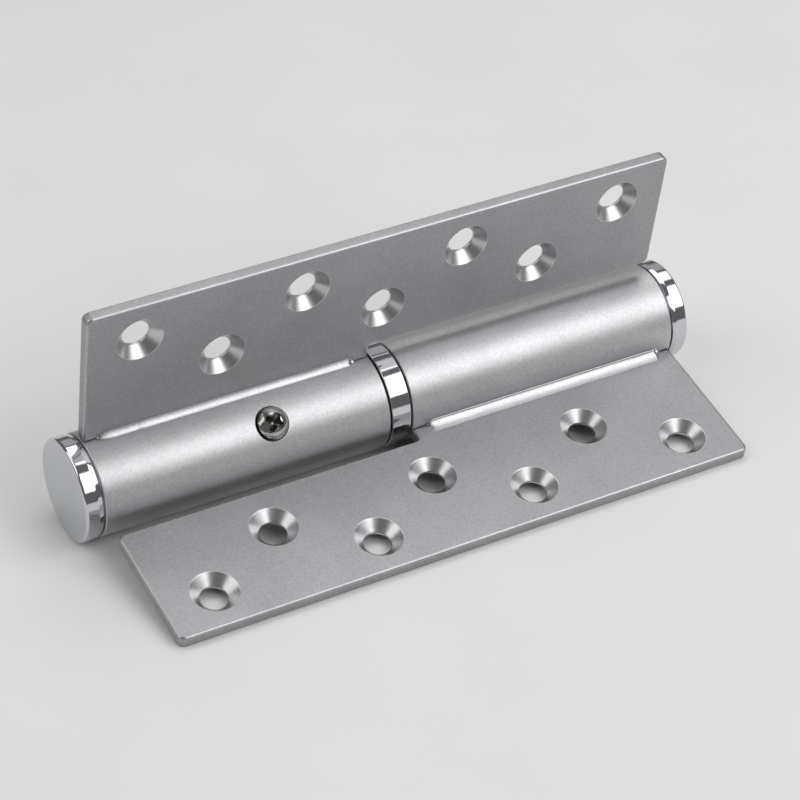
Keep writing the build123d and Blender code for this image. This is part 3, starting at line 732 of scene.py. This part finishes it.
def cap_profile():
    """Outline of a cap: face, edges, neck and hollow spigot."""
    head = TUBE_OUTER + CAP_NECK
    corners = ((TUBE_OUTER, 0, 0), (CAP_OUTER, 0, 0), (CAP_OUTER, BRIGHT_RADIUS, CAP_FACE_EDGE),
               (head + CAP_BEVEL, BRIGHT_RADIUS, CAP_BEVEL),
               (head, BRIGHT_RADIUS - CAP_BEVEL_DROP, CAP_BEVEL_EDGE),
               (head, CAP_NECK_RADIUS, 0), (TUBE_OUTER, CAP_NECK_RADIUS, 0), (TUBE_OUTER, TUBE_BORE, 0),
               (SPIGOT_END, TUBE_BORE, 0), (SPIGOT_END, SPIGOT_BORE, 0), (TUBE_OUTER, SPIGOT_BORE, 0))
    return rounded([(x, radius) for x, radius, _ in corners], [edge for _, _, edge in corners], steps=8)


def ring_profile():
    """Outline of the ring, with rounded outer edges."""
    corners = [(-RING_HALF, RING_BORE), (-RING_HALF, BRIGHT_RADIUS),
               (RING_HALF, BRIGHT_RADIUS), (RING_HALF, RING_BORE)]
    return rounded(corners, (0, RING_EDGE, RING_EDGE, 0))


chrome = bright_chrome()
for name, node, profile, body in (
        ("ring_between_tubes", "middle_ring", ring_profile(), "rear_side"),
        ("left_end_cap", "left_cap", [(-x, radius) for x, radius in cap_profile()], "rear_side"),
        ("right_end_cap", "right_cap", cap_profile(), "front_side")):
    bright = tidy_piece(name, turned(profile), [chrome])
    settle(bright, angle=20)
    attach(bright, body)
    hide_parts(node)


# Lock screw: a pan-head machine screw with a cross recess, nickel plated and a little darker than the rest.
# It passes through the left tube into the cam sleeve and holds the whole mechanism.
SCREW_STEPS = 96
SCREW_HEAD_RADIUS = 3.15
SCREW_HEAD_HEIGHT = 1.9
SCREW_HEAD_EDGE = 0.1         # bevel at the head's underside
SCREW_RIM = 0.6               # top of the head's straight side
DOME_STEPS = 12
DOME_CURVE = (2.4, 0.8)       # the higher the first and the lower the second, the fuller the dome
SCREW_SHANK = 1.75            # radius
SCREW_LENGTH = 5.2
SCREW_POINT = 0.4             # length of its bevelled end
SCREW_POINT_SHARE = 0.8       # of the shank's radius, at that end
RECESS_SPAN = 4.5
RECESS_WIDTH = 1.25
RECESS_DEPTH = 1.3
RECESS_TURN = 50.0
# Levels of the recess: height over the top of the head, and the shares of its span and of its width there
RECESS_LEVELS = ((0.3, 1.12, 1.2), (-0.75 * RECESS_DEPTH, 0.66, 0.8), (-1.4 * RECESS_DEPTH, 0.12, 0.2))
RECESS_ARM_END = 0.7          # share of an arm's width, at its end
RECESS_FILLET = 0.9           # share of half an arm's width
FILLET_MIDDLE = 0.3           # share of the fillet


def screw_nickel():
    """Nickel plating, smeared and a little dull."""
    colour = (0.50, 0.485, 0.46)
    finish, tree, shader, place = new_finish("nickel_screw", colour, roughness=0.14)
    smear = cloud(tree, place, size=1.1, detail=3.0)
    tint(tree, shader, colour, [vary(tree, smear, 0.85, 1.12)])
    tree.links.new(vary(tree, smear, 0.09, 0.19), shader.inputs["Roughness"])
    emboss(tree, shader, [(smear, 0.03)])
    return finish


def screw_body():
    """Shank, head and dome, turned about Z with the head's underside at 0."""
    profile = [(SCREW_SHANK * SCREW_POINT_SHARE, -SCREW_LENGTH), (SCREW_SHANK, SCREW_POINT - SCREW_LENGTH),
               (SCREW_SHANK, 0), (SCREW_HEAD_RADIUS - SCREW_HEAD_EDGE, 0),
               (SCREW_HEAD_RADIUS, SCREW_HEAD_EDGE), (SCREW_HEAD_RADIUS, SCREW_RIM)]
    for step in range(1, DOME_STEPS):
        share = 1 - step / DOME_STEPS
        rise = (1 - share ** DOME_CURVE[0]) ** DOME_CURVE[1]
        profile.append((SCREW_HEAD_RADIUS * share, SCREW_RIM + (SCREW_HEAD_HEIGHT - SCREW_RIM) * rise))
    bm = bmesh.new()
    return skin(bm, [[bm.verts.new(point) for point in circle_points(0, 0, radius, height, SCREW_STEPS)]
                     for radius, height in profile])


def recess_cutter():
    """Tapered cross with rounded inner corners, its mouth above the head."""
    bm = bmesh.new()
    rings = []
    for above_head, span_share, width_share in RECESS_LEVELS:
        arm = RECESS_SPAN * span_share / 2
        half = RECESS_WIDTH * width_share / 2
        fillet = half * RECESS_FILLET
        inner = half + fillet * FILLET_MIDDLE
        ring = []
        for quarter in range(4):
            turn = math.radians(90 * quarter + RECESS_TURN)
            for x, y in ((arm, -half * RECESS_ARM_END), (arm, half * RECESS_ARM_END), (half + fillet, half),
                         (inner, inner), (half, half + fillet)):
                ring.append(bm.verts.new((x * math.cos(turn) - y * math.sin(turn),
                                          x * math.sin(turn) + y * math.cos(turn),
                                          SCREW_HEAD_HEIGHT + above_head)))
        rings.append(ring)
    return skin(bm, rings)


seat = radial_matrix(SCREW_STATION, SCREW_DIRECTION, SCREW_SEAT)
lock_screw = tidy_piece("cross_recess_lock_screw", screw_body(), [screw_nickel()], seat)
# Painted shade: the recess walls are coloured dark, standing in for the shade inside the cross
recess_painted_shade = painted_shade_steel("punched_recess_painted_shade", (0.17, 0.165, 0.155), roughness=0.26)
cut_away(lock_screw, tidy_piece("recess_cutter", recess_cutter(), [recess_painted_shade], seat))
settle(lock_screw, angle=35)
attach(lock_screw, "rear_side")
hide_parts("body_screw")


# Thrust washers: thin bronze rings on both sides of the middle ring, a little smaller than the tubes,
# so that only a dark line of them shows. Their bronze is darkened nearly to black as painted shade in that
# line.
def turned_metal(name, colour, roughness, mark_size, mark_depth):
    """Turned or ground metal, with the fine rings that the tool leaves round the pivot."""
    finish, tree, shader, place = new_finish(name, colour, roughness)
    reach = calculate(tree, "ADD", *from_pivot(tree, place))
    marks = stripes(tree, reach, scale=1 / (mark_size * MM), detail=3.0)
    stain = cloud(tree, place, size=4.0, detail=3.0)
    tint(tree, shader, colour, [vary(tree, marks, 0.92, 1.06), vary(tree, stain, 0.93, 1.05)])
    tree.links.new(vary(tree, stain, roughness - 0.04, roughness + 0.05), shader.inputs["Roughness"])
    emboss(tree, shader, [(marks, mark_depth)])
    return finish


def dress(finish, *names):
    """Gives CAD nodes their finish."""
    for name in names:
        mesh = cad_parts[name].data
        mesh.materials.clear()
        mesh.materials.append(finish)


# Bronze darkened nearly to black: painted shade for the gaps beside the middle ring
bronze_with_painted_shade = turned_metal("bearing_bronze_with_painted_shade", (0.070, 0.052, 0.038), roughness=0.5, mark_size=0.12,
                             mark_depth=0.004)
dress(bronze_with_painted_shade, "left_washer", "right_washer")


# Cam and guide: a hardened and ground sleeve with two helical slots, locked in the left tube, and a sleeve
# with two straight slots pressed in the right tube. The cross pin runs in all four slots, so that
# swinging the leaves slides the follower. A spring ring keeps the two halves together.
ground_finish = turned_metal("ground_hard_steel", (0.46, 0.46, 0.47), roughness=0.22, mark_size=0.09,
                             mark_depth=0.002)
dress(ground_finish, "cam_sleeve", "guide_sleeve", "cross_pin", "follower")
spring_ring_finish = turned_metal("oiled_spring_ring", (0.09, 0.085, 0.08), roughness=0.38, mark_size=0.2,
                                  mark_depth=0.002)
dress(spring_ring_finish, "cam_circlip", "cylinder_circlip")


# Closing spring: oil-tempered round wire, wound with one closed coil at each end and ground flat there.
# It sits between the follower's spring seat and the tension adjuster, and gives way as the leaves swing.
SPRING_FROM = 38.0            # station of the spring seat's face
SPRING_TO = 57.5              # station of the adjuster's face
SPRING_WIRE = 1.0             # radius
SPRING_COIL = 6.5             # radius of the wire's centre
CLOSED_PITCH = 2.05
CLOSED_COILS = 2.0            # one at each end
ACTIVE_COILS = 3.5
WIRE_POINTS = 400
WIRE_SIDES = 16


def spring_wire_finish():
    """Wire with the dark scale of tempering in oil."""
    colour = (0.16, 0.15, 0.145)
    finish, tree, shader, place = new_finish("tempered_spring_wire", colour, roughness=0.34)
    scale = cloud(tree, place, size=0.9, detail=4.0, roughness=0.6)
    tint(tree, shader, colour, [vary(tree, scale, 0.7, 1.3)])
    tree.links.new(vary(tree, scale, 0.26, 0.46), shader.inputs["Roughness"])
    emboss(tree, shader, [(scale, 0.012)])
    return finish


def spring_tree():
    """Geometry nodes that wind the wire along X: closed coil, open coils, closed coil, ends ground flat."""
    tree, given = node_group("wound_spring", (
        ("Start", "Geometry"), ("Length", "Float"), ("Coil Radius", "Float"), ("Wire Radius", "Float"),
        ("Closed Pitch", "Float"), ("Closed Coils", "Float"), ("Active Coils", "Float"),
        ("Wire Finish", "Material")), "Spring")

    def work_out(operation, *values):
        return calculate(tree, operation, *values)

    line = add_node(tree, "GeometryNodeCurvePrimitiveLine", {"End": (1, 0, 0)})
    even = add_node(tree, "GeometryNodeResampleCurve", {"Curve": line.outputs[0], "Count": WIRE_POINTS})
    share = add_node(tree, "GeometryNodeSplineParameter").outputs["Factor"]
    turns = work_out("MULTIPLY", share, work_out("ADD", given["Active Coils"], given["Closed Coils"]))
    closed = work_out("MULTIPLY", given["Closed Pitch"], given["Closed Coils"])
    room = work_out("SUBTRACT", work_out("SUBTRACT", given["Length"], closed), given["Wire Radius"])
    open_pitch = work_out("DIVIDE", room, given["Active Coils"])
    past_first = work_out("SUBTRACT", turns, 1.0)
    first = work_out("MINIMUM", turns, 1.0)
    middle = work_out("MINIMUM", work_out("MAXIMUM", past_first, 0.0), given["Active Coils"])
    last = work_out("MAXIMUM", work_out("SUBTRACT", past_first, given["Active Coils"]), 0.0)
    start = work_out("MULTIPLY", given["Wire Radius"], 0.5)
    along = work_out("MULTIPLY_ADD", work_out("ADD", first, last), given["Closed Pitch"], start)
    turn = work_out("MULTIPLY", turns, 2 * math.pi)
    place = add_node(tree, "ShaderNodeCombineXYZ", {
        "X": work_out("MULTIPLY_ADD", middle, open_pitch, along),
        "Y": work_out("MULTIPLY", work_out("COSINE", turn), given["Coil Radius"]),
        "Z": work_out("MULTIPLY", work_out("SINE", turn), given["Coil Radius"])})
    wound = add_node(tree, "GeometryNodeSetPosition", {
        "Geometry": even.outputs[0], "Position": place.outputs[0]})
    section = add_node(tree, "GeometryNodeCurvePrimitiveCircle", {
        "Resolution": WIRE_SIDES, "Radius": given["Wire Radius"]})
    wire = add_node(tree, "GeometryNodeCurveToMesh", {
        "Curve": wound.outputs[0], "Profile Curve": section.outputs[0], "Fill Caps": True})
    position = add_node(tree, "GeometryNodeInputPosition").outputs[0]
    where = add_node(tree, "ShaderNodeSeparateXYZ", {0: position}).outputs
    ground = work_out("MINIMUM", work_out("MAXIMUM", where["X"], 0.0), given["Length"])
    flat = add_node(tree, "ShaderNodeCombineXYZ", {"X": ground, "Y": where["Y"], "Z": where["Z"]})
    ends = add_node(tree, "GeometryNodeSetPosition", {
        "Geometry": wire.outputs[0], "Position": flat.outputs[0]})
    real = add_node(tree, "GeometryNodeRealizeInstances", {0: ends.outputs[0]})
    finished = add_node(tree, "GeometryNodeSetMaterial", {
        "Geometry": real.outputs[0], "Material": given["Wire Finish"]})
    add_node(tree, "NodeGroupOutput", {0: finished.outputs[0]})
    return tree


coiled, finishes = shaped_by_nodes(plain_object("winding", bmesh.new()), spring_tree(), {
    "Length": SPRING_TO - SPRING_FROM, "Coil Radius": SPRING_COIL, "Wire Radius": SPRING_WIRE,
    "Closed Pitch": CLOSED_PITCH, "Closed Coils": CLOSED_COILS, "Active Coils": ACTIVE_COILS,
    "Wire Finish": spring_wire_finish()})
spring = tidy_piece("wound_closing_spring", coiled, finishes, Matrix.Translation((SPRING_FROM, 0, 0)))
settle(spring, angle=40)
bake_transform(spring)
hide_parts("closing_spring")


# Spring seat, tension adjuster and damper: free-cutting steel, turned and left bright and oily, with a
# ground rod, a honed cylinder and a bronze gland. The adjuster screws into the right tube behind the
# spring; the cylinder is slid into the left tube and held there by a spring ring in a groove.
turned_finish = turned_metal("turned_bright_steel", (0.52, 0.51, 0.50), roughness=0.30, mark_size=0.16,
                             mark_depth=0.005)
dress(turned_finish, "spring_seat", "tension_adjuster", "piston", "end_plug", "speed_adjuster")
dress(ground_finish, "piston_rod", "oil_cylinder")
# The gland takes the same bronze, darkened as painted shade
dress(bronze_with_painted_shade, "gland")


# Seals: moulded black nitrile rubber. Two O-rings lie in their grooves, on the gland and on the end plug,
# and two lip seals wipe the rod and the cylinder's wall.
def nitrile_rubber():
    """Black rubber with a faint bloom."""
    colour = (0.018, 0.018, 0.019)
    finish, tree, shader, place = new_finish("nitrile_rubber", colour, roughness=0.55, metallic=0.0)
    bloom = cloud(tree, place, size=1.6, detail=3.0)
    tint(tree, shader, colour, [vary(tree, bloom, 0.7, 1.6)])
    tree.links.new(vary(tree, bloom, 0.45, 0.65), shader.inputs["Roughness"])
    emboss(tree, shader, [(cloud(tree, place, size=0.25), 0.006)])
    return finish


dress(nitrile_rubber(), "gland_o_ring", "end_plug_o_ring", "rod_seal", "piston_seal")


# Floor: plain, pale and matt, not part of the hinge.
# It lies a hair below the hinge, so that the two have no plane in common.
FLOOR_HALF = 2.5              # metres
FLOOR_DROP = 0.02


def pale_paint():
    """Matt off-white, with the slightest unevenness."""
    finish, tree, shader, place = new_finish("pale_floor", (0.85, 0.85, 0.85), roughness=0.6, metallic=0.0)
    tint(tree, shader, (1, 1, 1), [vary(tree, cloud(tree, place, size=40.0, detail=3.0), 0.84, 0.86)])
    return finish


floor_mesh = bpy.data.meshes.new("floor")
floor_corners = [(x * FLOOR_HALF, y * FLOOR_HALF, 0) for x, y in ((-1, -1), (1, -1), (1, 1), (-1, 1))]
floor_mesh.from_pydata(floor_corners, [], [(0, 1, 2, 3)])
floor_mesh.materials.append(pale_paint())
floor = bpy.data.objects.new("floor", floor_mesh)
floor.location.z = -FLOOR_DROP * MM
bpy.context.scene.collection.objects.link(floor)


# Studio light: a large soft box at the front right, a dimmer one high behind, one at the back left and a
# faint one low behind, in an even grey room.
LAMP_DISTANCE = 0.9           # metres, as the boxes' sizes
LAMP_TARGET = Vector((0, 0, 0.02))
ROOM_GREY = (0.15, 0.15, 0.153, 1)


def soft_box(name, azimuth, elevation, width, height, radiance):
    """Area lamp that faces the hinge; azimuth is from +X towards +Y."""
    turn, rise = math.radians(azimuth), math.radians(elevation)
    away = Vector((math.cos(turn) * math.cos(rise), math.sin(turn) * math.cos(rise), math.sin(rise)))
    lamp = bpy.data.lights.new(name, "AREA")
    lamp.shape = "RECTANGLE"
    lamp.size, lamp.size_y = width, height
    lamp.energy = radiance * math.pi * width * height
    box = bpy.data.objects.new(name, lamp)
    box.location = LAMP_TARGET + away * LAMP_DISTANCE
    box.rotation_euler = away.to_track_quat("Z", "Y").to_euler()
    bpy.context.scene.collection.objects.link(box)


soft_box("key_box", azimuth=-50, elevation=43, width=1.0, height=0.62, radiance=2.4)
soft_box("overhead_box", azimuth=50, elevation=64, width=0.66, height=0.66, radiance=1.65)
soft_box("left_box", azimuth=165, elevation=45, width=0.8, height=0.8, radiance=1.3)
soft_box("back_box", azimuth=62, elevation=27, width=0.5, height=0.38, radiance=0.3)
world = bpy.data.worlds.new("grey_room")
world.use_nodes = True
world.node_tree.nodes["Background"].inputs["Color"].default_value = ROOM_GREY
bpy.context.scene.world = world
bpy.context.scene.view_settings.view_transform = "Standard"


# Camera: a long lens above the left front of the hinge.
# Its direction is turned from +Y towards +X, then down, and it is rolled a little about its line of sight.
CAMERA_PLACE = (-0.231376, -0.376251, 0.352200)  # metres
CAMERA_TURN = math.radians(31.2104)
CAMERA_DIP = math.radians(37.0355)
CAMERA_ROLL = math.radians(2.7904)
SENSOR_WIDTH = 36             # millimetres, as the lens
LENS = 127.963

camera_data = bpy.data.cameras.new("camera")
camera_data.sensor_width = SENSOR_WIDTH
camera_data.lens = LENS
camera = bpy.data.objects.new("camera", camera_data)
forward = Vector((math.sin(CAMERA_TURN) * math.cos(CAMERA_DIP),
                  math.cos(CAMERA_TURN) * math.cos(CAMERA_DIP), -math.sin(CAMERA_DIP)))
level = Vector((math.cos(CAMERA_TURN), -math.sin(CAMERA_TURN), 0))
upright = level.cross(forward)
right = level * math.cos(CAMERA_ROLL) + upright * math.sin(CAMERA_ROLL)
up = upright * math.cos(CAMERA_ROLL) - level * math.sin(CAMERA_ROLL)
view = Matrix((right, up, -forward)).transposed().to_4x4()
camera.matrix_world = Matrix.Translation(CAMERA_PLACE) @ view
bpy.context.scene.collection.objects.link(camera)
bpy.context.scene.camera = camera
